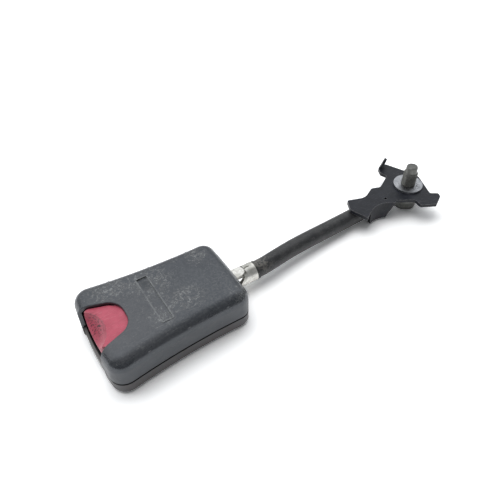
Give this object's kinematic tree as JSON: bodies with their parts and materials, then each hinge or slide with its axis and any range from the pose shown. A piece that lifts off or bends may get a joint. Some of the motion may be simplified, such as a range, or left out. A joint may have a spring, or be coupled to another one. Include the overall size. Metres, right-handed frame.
{
  "type": "seat belt buckle",
  "caption": "Seat belt buckle with a push button in a flared two-part case, on a sheathed wire-rope stalk with a stamped anchor plate and a captive anchor bolt.",
  "frame": {"origin": "on the anchor bolt's axis, level with the upper face of its captive washer, where the vehicle's anchorage seats", "axes": "+Z along the bolt, away from its head; +X from the buckle's mouth towards the bolt; the part lies on its case and the bolt's head at Z = -17.6 mm"},
  "size_m": [0.2595, 0.068, 0.033],
  "materials": {
    "case_plastic": "satin, scuffed",
    "button_plastic": "satin, worn",
    "inner_plastic": "satin",
    "sheath_plastic": "satin, scuffed",
    "zinc_plated_steel": "yellow zinc plating",
    "hardened_steel": "ground",
    "spring_steel": "drawn wire",
    "rope_steel": "zinc plated wire",
    "dark_steel": "satin black coating",
    "washer_steel": "zinc plating",
    "bolt_steel": "dull olive coating"
  },
  "bodies": {
    "buckle": {"upper_cover": "case_plastic", "lower_cover": "case_plastic", "mouth_guide": "case_plastic", "latch_frame": "zinc_plated_steel", "pawl_pin": "hardened_steel", "pawl_spring": "spring_steel", "button_springs": "spring_steel", "ejector_spring": "spring_steel", "cable_yoke": "zinc_plated_steel", "yoke_pin": "zinc_plated_steel", "wire_rope": "rope_steel", "cable_sheath": "sheath_plastic", "sheath_collar": "sheath_plastic", "cable_terminal": "dark_steel", "anchor_plate": "dark_steel", "spacer_bush": "inner_plastic"},
    "button": {"release_button": "button_plastic"},
    "lock": {"lock_slider": "inner_plastic"},
    "ejector_body": {"ejector": "inner_plastic"},
    "pawl": {"latch_pawl": "hardened_steel"},
    "bolt": {"anchor_bolt": "bolt_steel", "retaining_washer": "washer_steel"}
  },
  "joints": [
    {"name": "button_slide", "type": "slide", "parent": "buckle", "child": "button", "axis": [1, 0, 0], "range_m": [0, 0.0055], "stiffness_N_per_m": 600, "springref_m": -0.008},
    {"name": "lock_slide", "type": "slide", "parent": "buckle", "child": "lock", "axis": [1, 0, 0], "range_m": [0, 0.0055], "deforming": ["button_springs"]},
    {"name": "ejector_slide", "type": "slide", "parent": "buckle", "child": "ejector_body", "axis": [1, 0, 0], "range_m": [0, 0.013], "stiffness_N_per_m": 250, "springref_m": -0.012, "deforming": ["ejector_spring"]},
    {"name": "pawl_swing", "type": "hinge", "parent": "buckle", "child": "pawl", "pos_m": [-0.186, -0.0065, -0.0001], "axis": [0, -1, 0], "range_deg": [0, 14]},
    {"name": "bolt_spin", "type": "hinge", "parent": "buckle", "child": "bolt", "pos_m": [0, 0, 0], "axis": [0, 0, 1], "continuous": true}
  ],
  "couplings": [
    {"joint": "lock_slide", "follows": "button_slide", "ratio": 1},
    {"joint": "pawl_swing", "follows": "ejector_slide", "rad_per_m": 18.79}
  ]
}
